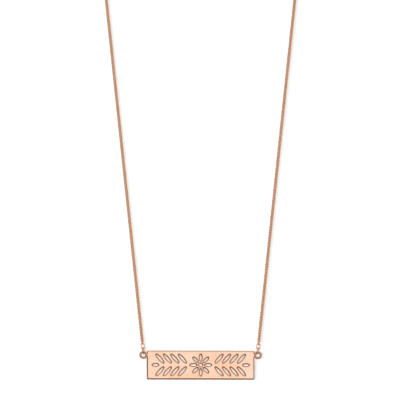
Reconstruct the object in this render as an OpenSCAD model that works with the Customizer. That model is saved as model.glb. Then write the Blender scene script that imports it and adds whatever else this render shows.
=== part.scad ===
// Nameplate necklace: a pierced bar hung by rings at its upper corners from a fine cable chain, which is
// closed by a spring ring at the nape. The loop hangs over a round form, in one plane.
// Millimetres, +Z up, the bar's face looks along -Y, the origin is where the loop rests on the form's crown.

/* [Bar] */
// Width of the bar, without its rings
bar_w = 32; // [26:0.5:44]
// Height of the bar
bar_h = 8.6; // [7.5:0.1:11]
// Thickness of the bar
bar_t = 1; // [0.8:0.05:1.4]

/* [Bar rings] */
// Outside diameter of the ring soldered to each end of the bar
bar_ring_od = 2.4; // [2.2:0.1:3]
// Wire of the bar's rings
bar_ring_wire = 0.65; // [0.45:0.05:0.7]
// How far each ring is sunk in the bar's end by its solder
solder_depth = 0.2; // [0.08:0.02:0.24]
// Step from the bar's upper edge down to the top of its rings
bar_ring_step = 0.1; // [0.1:0.05:1]
// Radius of the solder in the corners between each ring and the bar's end
solder_r = 0.18; // [0.1:0.02:0.25]
// Thickness of that solder
solder_t = 0.36; // [0.2:0.02:0.4]

/* [Pierced ornament] */
// Plain metal between the ornament and each end of the bar
end_border = 1.65; // [1:0.05:3]
// Plain metal between the ornament and each long edge
edge_border = 1.1; // [0.7:0.05:1.5]
// Diameter of the round opening in the middle of the rosette
eye_d = 0.9; // [0.7:0.1:1.6]
// Plain metal between that opening and the petals
eye_wall = 0.7; // [0.5:0.05:0.8]
// Number of petals in the rosette
petals = 8; // [6:1:9]
// Greatest width of a petal
petal_w = 0.6; // [0.5:0.05:0.9]
// Greatest width of a leaf
leaf_w = 0.6; // [0.5:0.05:1.1]
// Lean of the leaves away from the bar's length, in degrees
leaf_lean = 48; // [40:1:60]
// Metal between one leaf and the next
leaf_wall = 1.05; // [0.8:0.05:1.4]
// Width of the stem that the leaves grow from
stem_w = 1.1; // [0.8:0.05:1.3]

/* [Chain] */
// Outside width of the cable chain
chain_d = 1.2; // [0.8:0.05:1.3]
// Height from the bar's rings to the crown of the form that the loop hangs over
drop = 191; // [150:1:220]
// Radius of that form
form_r = 33.1; // [28:0.1:45]
// How far inside the middle of each bar ring the chain's line begins
hang_aside = 0.12; // [0:0.02:0.16]

/* [Rings and links] */
// Outside length of the jump ring that passes through each bar ring
jump_len = 2.3; // [2.2:0.1:3]
// Inside width of that jump ring
jump_inner_w = 1; // [0.95:0.05:1.2]
// Wire of that jump ring
jump_wire = 0.36; // [0.2:0.02:0.36]
// Turn of the jump ring about the chain's line, in degrees
jump_turn = 15; // [0:1:20]
// Outside length of the end link above it
end_link_len = 2; // [1.6:0.1:2.6]
// Outside width of the end link
end_link_w = 1.2; // [1.2:0.02:1.4]
// Wire of the end link
end_link_wire = 0.3; // [0.2:0.01:0.3]

/* [Clasp] */
// Outside diameter of the spring ring
clasp_od = 4.9; // [4.5:0.1:6]
// Tube of the spring ring
clasp_wire = 1; // [0.9:0.05:1.2]
// Diameter of the bolt that closes the spring ring's mouth
bolt_d = 0.74; // [0.6:0.02:0.8]
// Outside diameter of the clasp's own loop
clasp_loop_od = 1.9; // [1.8:0.05:2.2]
// Wire of the clasp's own loop
clasp_loop_wire = 0.45; // [0.35:0.05:0.5]
// Diameter of the thumb nub
nub_d = 0.7; // [0.5:0.05:0.8]
// How far the thumb nub stands out of the tube
nub_len = 0.7; // [0.4:0.05:1]
// Outside diameter of the jump ring between the clasp and the chain
clasp_ring_od = 2.2; // [2.2:0.1:2.8]
// Wire of that jump ring
clasp_ring_wire = 0.4; // [0.3:0.02:0.4]
// Outside diameter of the ring that the clasp closes round
end_ring_od = 3.2; // [3.2:0.1:4]
// Wire of that ring
end_ring_wire = 0.4; // [0.3:0.02:0.42]

/* [Clearance] */
// Gap between rings and links that hold each other
link_gap = 0.1; // [0.08:0.01:0.12]
// Gap between each end of a chain half and the link or ring that it joins
chain_gap = 0.15; // [0.1:0.01:0.3]

/* [Hidden] */
$fn = 64;

// Colours of polished rose gold: the bar, the drawn wire and the chain in its own shade
BAR_COLOUR = [0.98, 0.8, 0.68];
WIRE_COLOUR = [0.9, 0.7, 0.58];
CHAIN_COLOUR = [0.8, 0.6, 0.47];

// Extra depth of a cut on each side of what it goes through
CUT = 0.5;
// Sides of the chain's outer form, and its sections along the straight and along the bend
CHAIN_SIDES = 8;
STRAIGHT_STEPS = 18;
BEND_STEPS = 21;
// Where the spring ring's mouth begins and ends and where its thumb nub stands, in degrees from the side of
// the ring that it closes round
MOUTH = [14, 44];
NUB_ANGLE = 55;

// Places of the bar and its rings, on the right-hand side
bar_ring_r = (bar_ring_od - bar_ring_wire) / 2;
bar_ring_x = bar_w / 2 + bar_ring_od / 2 - solder_depth;
bar_top = bar_ring_od / 2 + bar_ring_step - drop;
bar_middle = bar_top - bar_h / 2;

// The loop's centre line: a straight stretch from each bar ring that runs on to a round bend over the form
bend_r = form_r + chain_d / 2;
hang_x = bar_ring_x - hang_aside;
centre_drop = drop - form_r;
centre_span = sqrt(hang_x * hang_x + centre_drop * centre_drop);
straight_len = sqrt(centre_span * centre_span - bend_r * bend_r);
chain_lean = asin(bend_r / centre_span) - atan(hang_x / centre_drop);
bend_end = 90 + chain_lean;

// Places along the straight stretch, counted from the height of the bar ring's middle
bar_ring_inner_r = bar_ring_r - bar_ring_wire / 2;
jump_low = sqrt(pow(bar_ring_inner_r, 2) - pow(hang_aside, 2)) - link_gap - jump_wire;
jump_inner_top = jump_low + jump_len - jump_wire;
end_link_low = jump_inner_top - link_gap - end_link_wire;
chain_low = end_link_low + end_link_len + chain_gap;

// Sizes of the clasp, and how far out each ring beside it reaches from the middle of the wire that it holds
clasp_r = (clasp_od - clasp_wire) / 2;
clasp_loop_r = (clasp_loop_od - clasp_loop_wire) / 2;
clasp_loop_at = (clasp_od + clasp_loop_od) / 2 - solder_depth;
clasp_ring_r = (clasp_ring_od - clasp_ring_wire) / 2;
clasp_ring_reach = clasp_ring_r - (clasp_loop_wire + clasp_ring_wire) / 2 - link_gap;
end_ring_r = (end_ring_od - end_ring_wire) / 2;
end_ring_reach = end_ring_r - (clasp_wire + end_ring_wire) / 2 - link_gap;

// The ornament's field and the leaves that fit in it
field_w = bar_w - 2 * end_border;
field_h = bar_h - 2 * edge_border;
petal_start = eye_d / 2 + eye_wall;
petal_len = field_h / 2 - petal_start;
leaf_start = field_h / 2 + leaf_wall;
leaf_len = (field_h - stem_w) / 2 / sin(leaf_lean);
leaf_reach = leaf_len * cos(leaf_lean);
leaf_pitch = (leaf_w + leaf_wall) / sin(leaf_lean);
leaf_pairs = 1 + floor((field_w / 2 - leaf_start - leaf_reach) / leaf_pitch);
last_leaf = leaf_start + (leaf_pairs - 1) * leaf_pitch;
tip_leaf_start = last_leaf + leaf_wall + stem_w / 2;

// An angle along the bend for a length along it
function bend_angle(length) = length / bend_r * 180 / PI;

// The middle of a ring beside the clasp, leaning down with the bend from the wire that it holds
function ring_middle(hold, reach) =
    let (lean = bend_angle(hold + reach))
        [hold + reach * cos(lean), clasp_wire / 2 - reach * sin(lean)];

// The angle from the crown at which the bend is a length away from such a ring's middle
function bend_start(middle, length) =
    let (up = middle[1] + form_r, out = norm([middle[0], up]))
        atan2(middle[0], up) + acos((out * out + bend_r * bend_r - length * length) / (2 * out * bend_r));

// A point of the right-hand half of the loop's centre line, by its length from the bar's ring
function on_straight(length) =
    [hang_x + length * sin(chain_lean), -drop + length * cos(chain_lean)];

// A point of that half on the bend, by its angle from the crown
function on_bend(angle) = [bend_r * sin(angle), bend_r * cos(angle) - form_r];

// Where the rings beside the clasp lie
clasp_ring_middle = ring_middle(clasp_loop_at + clasp_loop_r, clasp_ring_reach);
end_ring_middle = ring_middle(clasp_r, end_ring_reach);

// The eight corners of the chain's outer form round a point, with its outward side given as an angle from
// the crown
function section(point, angle) = [for (side = [0:CHAIN_SIDES - 1])
    let (turn = 360 * side / CHAIN_SIDES, out = chain_d / 2 * cos(turn))
        [point[0] + out * sin(angle), chain_d / 2 * sin(turn), point[1] + out * cos(angle)]];

// The sections of one half, from the end link up the straight and round the bend
function chain_sections(top_angle) = [
    for (step = [0:STRAIGHT_STEPS])
        section(on_straight(chain_low + (straight_len - chain_low) * step / STRAIGHT_STEPS), bend_end),
    for (step = [1:BEND_STEPS])
        let (angle = bend_end + (top_angle - bend_end) * step / BEND_STEPS)
            section(on_bend(angle), angle)];

// A closed tube through a list of sections
module tube(sections) {
    last = len(sections) - 1;
    corners = [for (ring = sections) for (corner = ring) corner];
    walls = [for (ring = [0:last - 1]) for (side = [0:CHAIN_SIDES - 1])
        let (next = (side + 1) % CHAIN_SIDES, low = ring * CHAIN_SIDES, high = low + CHAIN_SIDES)
            [low + side, high + side, high + next, low + next]];
    low_cap = [for (side = [0:CHAIN_SIDES - 1]) side];
    high_cap = [for (side = [CHAIN_SIDES - 1:-1:0]) last * CHAIN_SIDES + side];
    polyhedron(corners, concat([low_cap], walls, [high_cap]));
}

// A round wire ring about the Z axis
module wire_ring(middle_r, wire) {
    rotate_extrude() translate([middle_r, 0]) circle(d = wire);
}

// An oval wire ring in the plane of X and Z, with its lowest point at the origin
module oval_ring(length, width, wire) {
    bow_r = (width - wire) / 2;
    straight = length - width;
    translate([0, 0, width / 2]) rotate([90, 0, 0]) {
        rotate([0, 0, 180]) rotate_extrude(angle = 180) translate([bow_r, 0]) circle(d = wire);
        translate([0, straight]) rotate_extrude(angle = 180) translate([bow_r, 0]) circle(d = wire);
        for (side = [-1, 1])
            translate([side * bow_r, 0]) rotate([-90, 0, 0]) cylinder(d = wire, h = straight);
    }
}

// Puts a piece on the straight stretch, standing along it, on the right (1) or the left (-1)
module at_straight(side, length) {
    point = on_straight(length);
    translate([side * point[0], 0, point[1]]) rotate([0, side * chain_lean, 0]) children();
}

// Puts a piece beside the clasp, on the right (1) or the left (-1), in the plane of the loop
module beside_clasp(side, middle) {
    translate([side * middle[0], 0, middle[1]]) rotate([90, 0, 0]) children();
}

// A leaf-shaped opening between two arcs, with one tip at the origin, lying along X
module leaf(length, width) {
    arc_r = (length * length + width * width) / (4 * width);
    translate([length / 2, 0]) intersection() {
        translate([0, arc_r - width / 2]) circle(arc_r, $fn = 180);
        translate([0, width / 2 - arc_r]) circle(arc_r, $fn = 180);
    }
}

// The round opening and the petals in the middle of the bar
module rosette() {
    circle(d = eye_d);
    for (petal = [0:petals - 1])
        rotate(90 + petal * 360 / petals) translate([petal_start, 0]) leaf(petal_len, petal_w);
}

// The leaves on one side of the rosette, in pairs along a stem that ends in a leaf of its own
module branch() {
    for (pair = [0:leaf_pairs - 1])
        for (side = [-1, 1])
            translate([leaf_start + pair * leaf_pitch, side * stem_w / 2])
                rotate(side * leaf_lean) leaf(leaf_len, leaf_w);
    translate([tip_leaf_start, 0]) leaf(field_w / 2 - tip_leaf_start, leaf_w);
}

module ornament() {
    rosette();
    for (side = [0, 1]) mirror([side, 0]) branch();
}

// The solder in the corners above and below where a ring meets the bar's right-hand end, with the ring's
// middle at the origin
module solder() {
    bar_end = solder_depth - bar_ring_od / 2;
    reach = sqrt(pow(bar_ring_od / 2 + solder_r, 2) - pow(bar_end + solder_r, 2));
    meets_ring = (bar_end + solder_r) * bar_ring_od / (bar_ring_od + 2 * solder_r);
    linear_extrude(solder_t, center = true) difference() {
        translate([bar_end - solder_depth, -reach]) square([meets_ring - bar_end + solder_depth, 2 * reach]);
        for (side = [-1, 1]) translate([bar_end + solder_r, side * reach]) circle(solder_r);
        circle(bar_ring_r);
    }
}

// A ring at the bar's right-hand end
module bar_ring() {
    translate([bar_ring_x, 0, -drop]) rotate([90, 0, 0]) {
        wire_ring(bar_ring_r, bar_ring_wire);
        solder();
    }
}

// The bar and its two rings, soldered into one piece
module nameplate() color(BAR_COLOUR) {
    difference() {
        translate([0, 0, bar_middle]) cube([bar_w, bar_t, bar_h], center = true);
        translate([0, 0, bar_middle]) rotate([90, 0, 0])
            linear_extrude(bar_t + 2 * CUT, center = true) ornament();
    }
    for (side = [0, 1]) mirror([side, 0, 0]) bar_ring();
}

// The oval ring through a bar ring, across it
module jump_ring(side) color(WIRE_COLOUR)
    at_straight(side, jump_low) rotate([0, 0, 90 - side * jump_turn])
        oval_ring(jump_len, jump_inner_w + 2 * jump_wire, jump_wire);

// The link above it, which faces the front
module end_link(side) color(WIRE_COLOUR)
    at_straight(side, end_link_low) oval_ring(end_link_len, end_link_w, end_link_wire);

module jump_ring_left() jump_ring(-1);
module jump_ring_right() jump_ring(1);
module end_link_left() end_link(-1);
module end_link_right() end_link(1);

// The outer form of each half of the chain
module chain_left() color(CHAIN_COLOUR) mirror([1, 0, 0])
    tube(chain_sections(bend_start(clasp_ring_middle, clasp_ring_od / 2 + chain_gap)));
module chain_right() color(CHAIN_COLOUR)
    tube(chain_sections(bend_start(end_ring_middle, end_ring_od / 2 + chain_gap)));

// The spring ring, flat on the form, with the bolt through its mouth, its own loop and its thumb nub
module clasp() color(WIRE_COLOUR) translate([0, 0, clasp_wire / 2]) {
    rotate([0, 0, MOUTH[1]]) rotate_extrude(angle = 360 + MOUTH[0] - MOUTH[1])
        translate([clasp_r, 0]) circle(d = clasp_wire);
    wire_ring(clasp_r, bolt_d);
    translate([-clasp_loop_at, 0, 0]) wire_ring(clasp_loop_r, clasp_loop_wire);
    rotate([0, 90, NUB_ANGLE]) translate([0, 0, clasp_r])
        cylinder(d = nub_d, h = clasp_wire / 2 + nub_len);
}

module clasp_ring() color(WIRE_COLOUR)
    beside_clasp(-1, clasp_ring_middle) wire_ring(clasp_ring_r, clasp_ring_wire);

module end_ring() color(WIRE_COLOUR)
    beside_clasp(1, end_ring_middle) wire_ring(end_ring_r, end_ring_wire);

nameplate();
jump_ring_left();
jump_ring_right();
end_link_left();
end_link_right();
chain_left();
chain_right();
clasp();
clasp_ring();
end_ring();
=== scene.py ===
"""Looks of a necklace with a pierced bar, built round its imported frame.

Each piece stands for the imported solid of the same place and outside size. The frame gives the places, and
the sizes that it can't give, such as a wire or an opening, are named here once. All lengths are in metres,
+Z is up, the bar's face looks along -Y and the origin is where the loop rests on its crown.
"""
import logging
import math
import random
from collections.abc import Sequence
from dataclasses import dataclass, field
from enum import Enum

import bpy
from mathutils import Matrix, Vector
from mathutils.geometry import delaunay_2d_cdt


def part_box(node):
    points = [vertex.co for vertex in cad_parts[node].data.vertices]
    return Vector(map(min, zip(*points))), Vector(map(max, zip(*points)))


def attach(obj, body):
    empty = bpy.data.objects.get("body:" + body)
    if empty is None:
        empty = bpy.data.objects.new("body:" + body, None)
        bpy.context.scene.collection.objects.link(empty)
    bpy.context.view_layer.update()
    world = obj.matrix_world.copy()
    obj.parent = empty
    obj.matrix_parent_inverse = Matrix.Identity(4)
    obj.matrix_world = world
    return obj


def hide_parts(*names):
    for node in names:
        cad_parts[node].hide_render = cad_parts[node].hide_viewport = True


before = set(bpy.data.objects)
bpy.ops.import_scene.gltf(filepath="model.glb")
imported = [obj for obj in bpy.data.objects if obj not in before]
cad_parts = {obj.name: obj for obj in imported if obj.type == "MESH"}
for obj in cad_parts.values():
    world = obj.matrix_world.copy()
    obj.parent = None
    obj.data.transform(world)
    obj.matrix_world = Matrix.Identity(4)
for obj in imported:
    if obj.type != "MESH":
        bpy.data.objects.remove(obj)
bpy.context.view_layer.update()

LOG = logging.getLogger("necklace")

MM = 0.001
BODY = "root"
SEED = 11
# How far inside the middle of each bar ring the chain's line begins
HANG_ASIDE = 0.12 * MM
# How the bar's faces are cut in triangles: only inside its outline, and points nearer than this are one
FILL_INSIDE = 1
SAME_POINT = 1e-6

Point = tuple[float, float]
Triple = tuple[float, float, float]
Colour = Triple
Line = list[tuple[Vector, Vector]]
Piece = bpy.types.Object
Node = bpy.types.Node
Socket = bpy.types.NodeSocket
NodeInput = Node | Socket | float | Triple

WHITE: Colour = (1.0, 1.0, 1.0)


class Side(Enum):
    """Which half of the loop a piece belongs to, seen from the front."""

    LEFT = -1
    RIGHT = 1

    @property
    def word(self) -> str:
        """The side's name as the nodes spell it."""
        return self.name.lower()


class Slot(Enum):
    """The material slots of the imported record."""

    BAR = "bar_gold"
    WIRE = "wire_gold"
    CHAIN = "chain_gold"


# Flat closed lines, drawn in the plane of X and Z, that turn to the left


def arc(centre: Point, radius: float, start: float, sweep: float, steps: int) -> Line:
    """Steps along an arc, without its last point.

    Args:
        centre: The circle's centre.
        radius: The circle's radius.
        start: The angle at which the arc begins, in degrees from X towards Z.
        sweep: The angle that it covers, in degrees.
        steps: The number of straight steps that stand for it.

    Returns:
        Each point and its outward direction.
    """
    line = []
    for step in range(steps):
        angle = math.radians(start + sweep * step / steps)
        normal = Vector((math.cos(angle), math.sin(angle)))
        line.append((Vector(centre) + normal * radius, normal))
    return line


def straight(start: Point, end: Point, steps: int) -> Line:
    """Steps along a straight stretch, without its last point.

    Args:
        start: Its first point.
        end: Its last point.
        steps: The number of steps that it is cut into.

    Returns:
        Each point and its outward direction.
    """
    along = Vector(end) - Vector(start)
    normal = Vector((along.y, -along.x)).normalized()
    return [(Vector(start) + along * (step / steps), normal) for step in range(steps)]


def moved(line: Line, offset: Point, turn: float) -> Line:
    """Turns a line about the origin by some degrees and then moves it."""
    spin = Matrix.Rotation(math.radians(turn), 2)
    return [(spin @ point + Vector(offset), spin @ normal) for point, normal in line]


def mirrored(line: Line) -> Line:
    """Mirrors a line left to right, so that it still turns to the left."""
    flip = Matrix(((-1, 0), (0, 1)))
    return [(flip @ point, flip @ normal) for point, normal in reversed(line)]


def circle_line(radius: float, steps: int) -> Line:
    """A circle about the origin."""
    return arc((0, 0), radius, 0, 360, steps)


def leaf_line(length: float, width: float, tip_r: float, steps: int) -> Line:
    """A leaf between two arcs, lying along X about the origin.

    Args:
        length: The length between the points at which the two arcs would cross.
        width: The greatest width.
        tip_r: The radius that the saw leaves at each tip.
        steps: The number of steps along each side.

    Returns:
        The closed line.
    """
    side_r = (length ** 2 + width ** 2) / (4 * width)
    centre = side_r - width / 2
    tip_x = math.sqrt((side_r - tip_r) ** 2 - centre ** 2)
    edge = math.degrees(math.atan2(centre, tip_x))
    half = arc((0, -centre), side_r, edge, 180 - 2 * edge, steps)
    half += arc((-tip_x, 0), tip_r, 180 - edge, 2 * edge, max(4, steps // 3))
    return half + moved(half, (0, 0), 180)


def bar_line(width: float, height: float, corner_r: float, steps: int) -> Line:
    """A rectangle about the origin with slightly rounded corners.

    Args:
        width: Its size along X.
        height: Its size along Z.
        corner_r: The radius of its corners.
        steps: The number of steps round each corner.

    Returns:
        The closed line.
    """
    x = width / 2 - corner_r
    z = height / 2 - corner_r
    half = arc((x, z), corner_r, 0, 90, steps) + straight((x, height / 2), (-x, height / 2), 1)
    half += arc((-x, z), corner_r, 90, 90, steps) + straight((-width / 2, z), (-width / 2, -z), 1)
    return half + moved(half, (0, 0), 180)


# Meshes


@dataclass
class Shell:
    """Points and faces of a closed surface that isn't an object yet.

    Attributes:
        points: The corners.
        faces: The faces, as numbers of corners.
        flat: The numbers of the faces that are plane and shaded so.
        finish: The material's number of each face that hasn't the first one.
    """

    points: list[Vector]
    faces: list[tuple[int, ...]]
    flat: set[int] = field(default_factory=set)
    finish: dict[int, int] = field(default_factory=dict)

    def placed(self, place: Matrix) -> "Shell":
        """The same shell, moved by a matrix."""
        return Shell([place @ point for point in self.points], self.faces, self.flat, self.finish)


def joined(shells: Sequence[Shell]) -> Shell:
    """Puts several smooth shells in one, side by side.

    Args:
        shells: The shells, which don't touch.

    Returns:
        One shell with all their points and faces.
    """
    whole = Shell([], [])
    for shell in shells:
        start = len(whole.points)
        whole.faces.extend(tuple(corner + start for corner in face) for face in shell.faces)
        whole.points.extend(shell.points)
    return whole


def wire_shell(line: Line, radii: Sequence[float], sides: int) -> Shell:
    """A round wire along a flat closed line in the plane of X and Z.

    Args:
        line: Its centre line.
        radii: The wire's radius at each point of that line.
        sides: The number of sides round the wire.

    Returns:
        The wire's shell.
    """
    angles = [math.tau * side / sides for side in range(sides)]
    turns = [(math.cos(angle), math.sin(angle)) for angle in angles]
    shell = Shell([], [])
    for row, ((point, normal), radius) in enumerate(zip(line, radii)):
        for out, through in turns:
            middle = point + normal * radius * out
            shell.points.append(Vector((middle.x, radius * through, middle.y)))
        low = row * sides
        high = (row + 1) % len(line) * sides
        for side in range(sides):
            after = (side + 1) % sides
            shell.faces.append((low + side, low + after, high + after, high + side))
    return shell


def ring_shell(outside_d: float, wire: float, steps: int, sides: int) -> Shell:
    """A plain wire ring about the origin, in the plane of X and Z.

    Args:
        outside_d: Its outside diameter.
        wire: Its wire.
        steps: The number of steps round the ring.
        sides: The number of sides round the wire.

    Returns:
        The ring's shell.
    """
    return wire_shell(circle_line((outside_d - wire) / 2, steps), [wire / 2] * steps, sides)


def turned_shell(profile: Sequence[Point], sides: int) -> Shell:
    """A solid turned about Z, closed at both ends by a point on the axis.

    Args:
        profile: Radius and height of each corner, from the lowest to the highest, with its ends on the axis.
        sides: The number of sides round it.

    Returns:
        The solid's shell.
    """
    rings = profile[1:-1]
    points = [Vector((0, 0, profile[0][1]))]
    for radius, height in rings:
        for side in range(sides):
            angle = math.tau * side / sides
            points.append(Vector((radius * math.cos(angle), radius * math.sin(angle), height)))
    points.append(Vector((0, 0, profile[-1][1])))
    faces: list[tuple[int, ...]] = []
    last = 1 + (len(rings) - 1) * sides
    for side in range(sides):
        after = (side + 1) % sides
        faces.append((0, 1 + after, 1 + side))
        faces.append((last + side, last + after, len(points) - 1))
        for ring in range(len(rings) - 1):
            low = 1 + ring * sides
            faces.append((low + side, low + after, low + sides + after, low + sides + side))
    return Shell(points, faces)


def make_object(name: str, shell: Shell) -> Piece:
    """Makes a smooth object of a shell and links it to the scene.

    Args:
        name: The object's name.
        shell: Its shell.

    Returns:
        The new object, at the origin.
    """
    mesh = bpy.data.meshes.new(name)
    mesh.from_pydata(shell.points, [], shell.faces)
    numbers = range(len(shell.faces))
    mesh.polygons.foreach_set("use_smooth", [number not in shell.flat for number in numbers])
    mesh.polygons.foreach_set("material_index", [shell.finish.get(number, 0) for number in numbers])
    mesh.update()
    piece = bpy.data.objects.new(name, mesh)
    bpy.context.scene.collection.objects.link(piece)
    return piece


def fuse(body: Piece, parts: Sequence[Piece], sharp_angle: float) -> None:
    """Unites other objects with one, as solder does, and removes them.

    Args:
        body: The object that stays.
        parts: The objects that become part of it.
        sharp_angle: The angle between faces, in degrees, above which an edge stays crisp.
    """
    for part in parts:
        union = body.modifiers.new(part.name, "BOOLEAN")
        union.operation = "UNION"
        union.solver = "EXACT"
        union.object = part
    graph = bpy.context.evaluated_depsgraph_get()
    mesh = bpy.data.meshes.new_from_object(body.evaluated_get(graph))
    body.modifiers.clear()
    old = body.data
    body.data = mesh
    bpy.data.meshes.remove(old)
    mesh.name = body.name
    mesh.set_sharp_from_angle(angle=math.radians(sharp_angle))
    for part in parts:
        bpy.data.objects.remove(part)


# Shader nodes


class NodeBoard:
    """Adds and links nodes in one tree."""

    def __init__(self, tree: bpy.types.NodeTree) -> None:
        """Takes the tree and clears it of the nodes that it starts with."""
        self.tree = tree
        tree.nodes.clear()

    def add(self, kind: str, *values: NodeInput, settings: dict[str, object] | None = None,
            **sockets: NodeInput) -> Node:
        """Adds a node and fills its inputs.

        Args:
            kind: The node's type name, without the ShaderNode before it.
            *values: What its first inputs get, in order.
            settings: Values of the node's own properties.
            **sockets: What other inputs get, by the input's name with _ for a space.

        Returns:
            The node.
        """
        node = self.tree.nodes.new(f"ShaderNode{kind}")
        for name, value in (settings or {}).items():
            setattr(node, name, value)
        for number, value in enumerate(values):
            self.feed(node.inputs[number], value)
        for name, value in sockets.items():
            self.feed(node.inputs[name.replace("_", " ")], value)
        return node

    def feed(self, socket: Socket, value: NodeInput) -> None:
        """Links an output to an input, or sets the input's value.

        Args:
            socket: The input.
            value: An output, a node whose first output is meant, a number or a colour.
        """
        if isinstance(value, Node):
            value = value.outputs[0]
        if isinstance(value, Socket):
            self.tree.links.new(value, socket)
        elif socket.type == "RGBA":
            socket.default_value = (*value, 1.0)
        else:
            socket.default_value = value

    def maths(self, operation: str, *values: NodeInput) -> Node:
        """A Math node with an operation and its values in order."""
        return self.add("Math", *values, settings={"operation": operation})

    def vector_maths(self, operation: str, *values: NodeInput) -> Node:
        """A Vector Math node with an operation and its vectors in order."""
        return self.add("VectorMath", *values, settings={"operation": operation})

    def total(self, *terms: tuple[NodeInput, float]) -> NodeInput:
        """Adds up some values.

        Args:
            *terms: Each value and its weight.

        Returns:
            The sum of the weighted values.
        """
        result: NodeInput = 0.0
        for value, weight in terms:
            result = self.maths("MULTIPLY_ADD", value, weight, result)
        return result

    def spread(self, value: NodeInput, low: float, high: float, to_low: float = 0.0,
               to_high: float = 1.0) -> Node:
        """Maps a range of values smoothly to another one.

        Args:
            value: What is mapped.
            low: The value that gives to_low.
            high: The value that gives to_high.
            to_low: The result at low and below it.
            to_high: The result at high and above it.

        Returns:
            The node with the mapped value.
        """
        return self.add("MapRange", settings={"interpolation_type": "SMOOTHSTEP"}, Value=value, From_Min=low,
                        From_Max=high, To_Min=to_low, To_Max=to_high)

    def blend(self, share: NodeInput, first: NodeInput, second: NodeInput) -> Socket:
        """Mixes two colours.

        Args:
            share: The share of the second colour.
            first: The first colour.
            second: The second colour.

        Returns:
            The mixed colour.
        """
        node = self.add("Mix", share, settings={"data_type": "RGBA"})
        self.feed(node.inputs[6], first)
        self.feed(node.inputs[7], second)
        return node.outputs[2]

    def place(self) -> Socket:
        """Where a point lies on its object, so that patterns stay fixed to the object."""
        return self.add("TexCoord").outputs["Object"]

    def noise(self, place: NodeInput, scale: NodeInput, detail: float,
              roughness: float = 0.5) -> Node:
        """A cloudy pattern.

        Args:
            place: Where it is looked up.
            scale: The number of clouds a metre.
            detail: How many times finer clouds are laid over them.
            roughness: How much the finer ones count.

        Returns:
            The node with the pattern.
        """
        return self.add("TexNoise", Vector=place, Scale=scale, Detail=detail, Roughness=roughness)


def board_of(block: bpy.types.Material | bpy.types.World) -> NodeBoard:
    """Turns on the nodes of a material or of the world, and clears them."""
    block.use_nodes = True
    return NodeBoard(block.node_tree)


class EffectNodes(NodeBoard):
    """The nodes of an effect, between the input and the output of its group."""

    def __init__(self, tree: bpy.types.NodeTree) -> None:
        """Adds the group's input and output.

        Args:
            tree: The group's tree.
        """
        super().__init__(tree)
        self.given = tree.nodes.new("NodeGroupInput").outputs
        self.result = tree.nodes.new("NodeGroupOutput").inputs

    def tone_drift(self) -> None:
        """Makes a colour that drifts softly towards another one in patches."""
        clouds = self.noise(self.place(), self.given["Scale"], detail=3.0, roughness=0.55)
        share = self.maths("MULTIPLY", self.spread(clouds, low=0.32, high=0.68), self.given["Amount"])
        self.feed(self.result["Colour"], self.blend(share, self.given["Colour"], self.given["Other"]))

    def polish_marks(self) -> None:
        """Makes fine lines, as a polishing mop leaves them, with a softer grain between them."""
        drawn = self.vector_maths("MULTIPLY", self.place(), self.given["Stretch"])
        lines = self.noise(drawn, self.given["Scale"], detail=4.0, roughness=0.6)
        grain = self.noise(self.place(), self.given["Scale"], detail=2.0)
        height = self.total((lines, 0.75), (grain, 0.25))
        self.feed(self.result["Height"], height)
        self.feed(self.result["Mask"], self.spread(height, low=0.38, high=0.62))

    def edge_rub(self) -> None:
        """Finds the edges that are rubbed bright, where the surface turns away within a small radius."""
        rounded = self.add("Bevel", settings={"samples": 6}, Radius=self.given["Radius"])
        plain = self.add("NewGeometry").outputs["Normal"]
        match = self.vector_maths("DOT_PRODUCT", rounded, plain).outputs["Value"]
        broken = self.noise(self.place(), self.given["Scale"], detail=3.0)
        wear = self.spread(broken, low=0.3, high=0.6, to_low=0.45)
        turned = self.spread(match, low=0.995, high=0.9)
        self.feed(self.result["Mask"], self.maths("MULTIPLY", turned, wear))

    def recess(self) -> None:
        """Finds where neighbouring metal closes in, by ambient occlusion, for the shade painted there."""
        open_air = self.add("AmbientOcclusion", settings={"samples": 6}, Distance=self.given["Distance"])
        closed = self.maths("SUBTRACT", 1.0, open_air.outputs["AO"])
        self.feed(self.result["Mask"], self.spread(closed, low=0.25, high=0.85))


class Effect(Enum):
    """The shared effects: what makes the nodes, then the types of the group's inputs and outputs."""

    TONE_DRIFT = (EffectNodes.tone_drift,
                  {"Colour": "Color", "Other": "Color", "Scale": "Float", "Amount": "Float"},
                  {"Colour": "Color"})
    POLISH_MARKS = (EffectNodes.polish_marks, {"Stretch": "Vector", "Scale": "Float"},
                    {"Height": "Float", "Mask": "Float"})
    EDGE_RUB = (EffectNodes.edge_rub, {"Radius": "Float", "Scale": "Float"}, {"Mask": "Float"})
    RECESS = (EffectNodes.recess, {"Distance": "Float"}, {"Mask": "Float"})

    def group(self) -> bpy.types.NodeTree:
        """The effect's nodes, built on their first use.

        Returns:
            The node group.
        """
        name = self.name.lower().replace("_", " ")
        if name in bpy.data.node_groups:
            return bpy.data.node_groups[name]
        make_nodes, inputs, outputs = self.value
        group = bpy.data.node_groups.new(name, "ShaderNodeTree")
        for in_out, sockets in (("INPUT", inputs), ("OUTPUT", outputs)):
            for label, kind in sockets.items():
                group.interface.new_socket(label, in_out=in_out, socket_type=f"NodeSocket{kind}")
        make_nodes(EffectNodes(group))
        return group

    def put(self, board: NodeBoard, **sockets: NodeInput) -> Node:
        """Adds the effect's group node to a material's board, with its inputs filled."""
        return board.add("Group", settings={"node_tree": self.group()}, **sockets)


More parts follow.
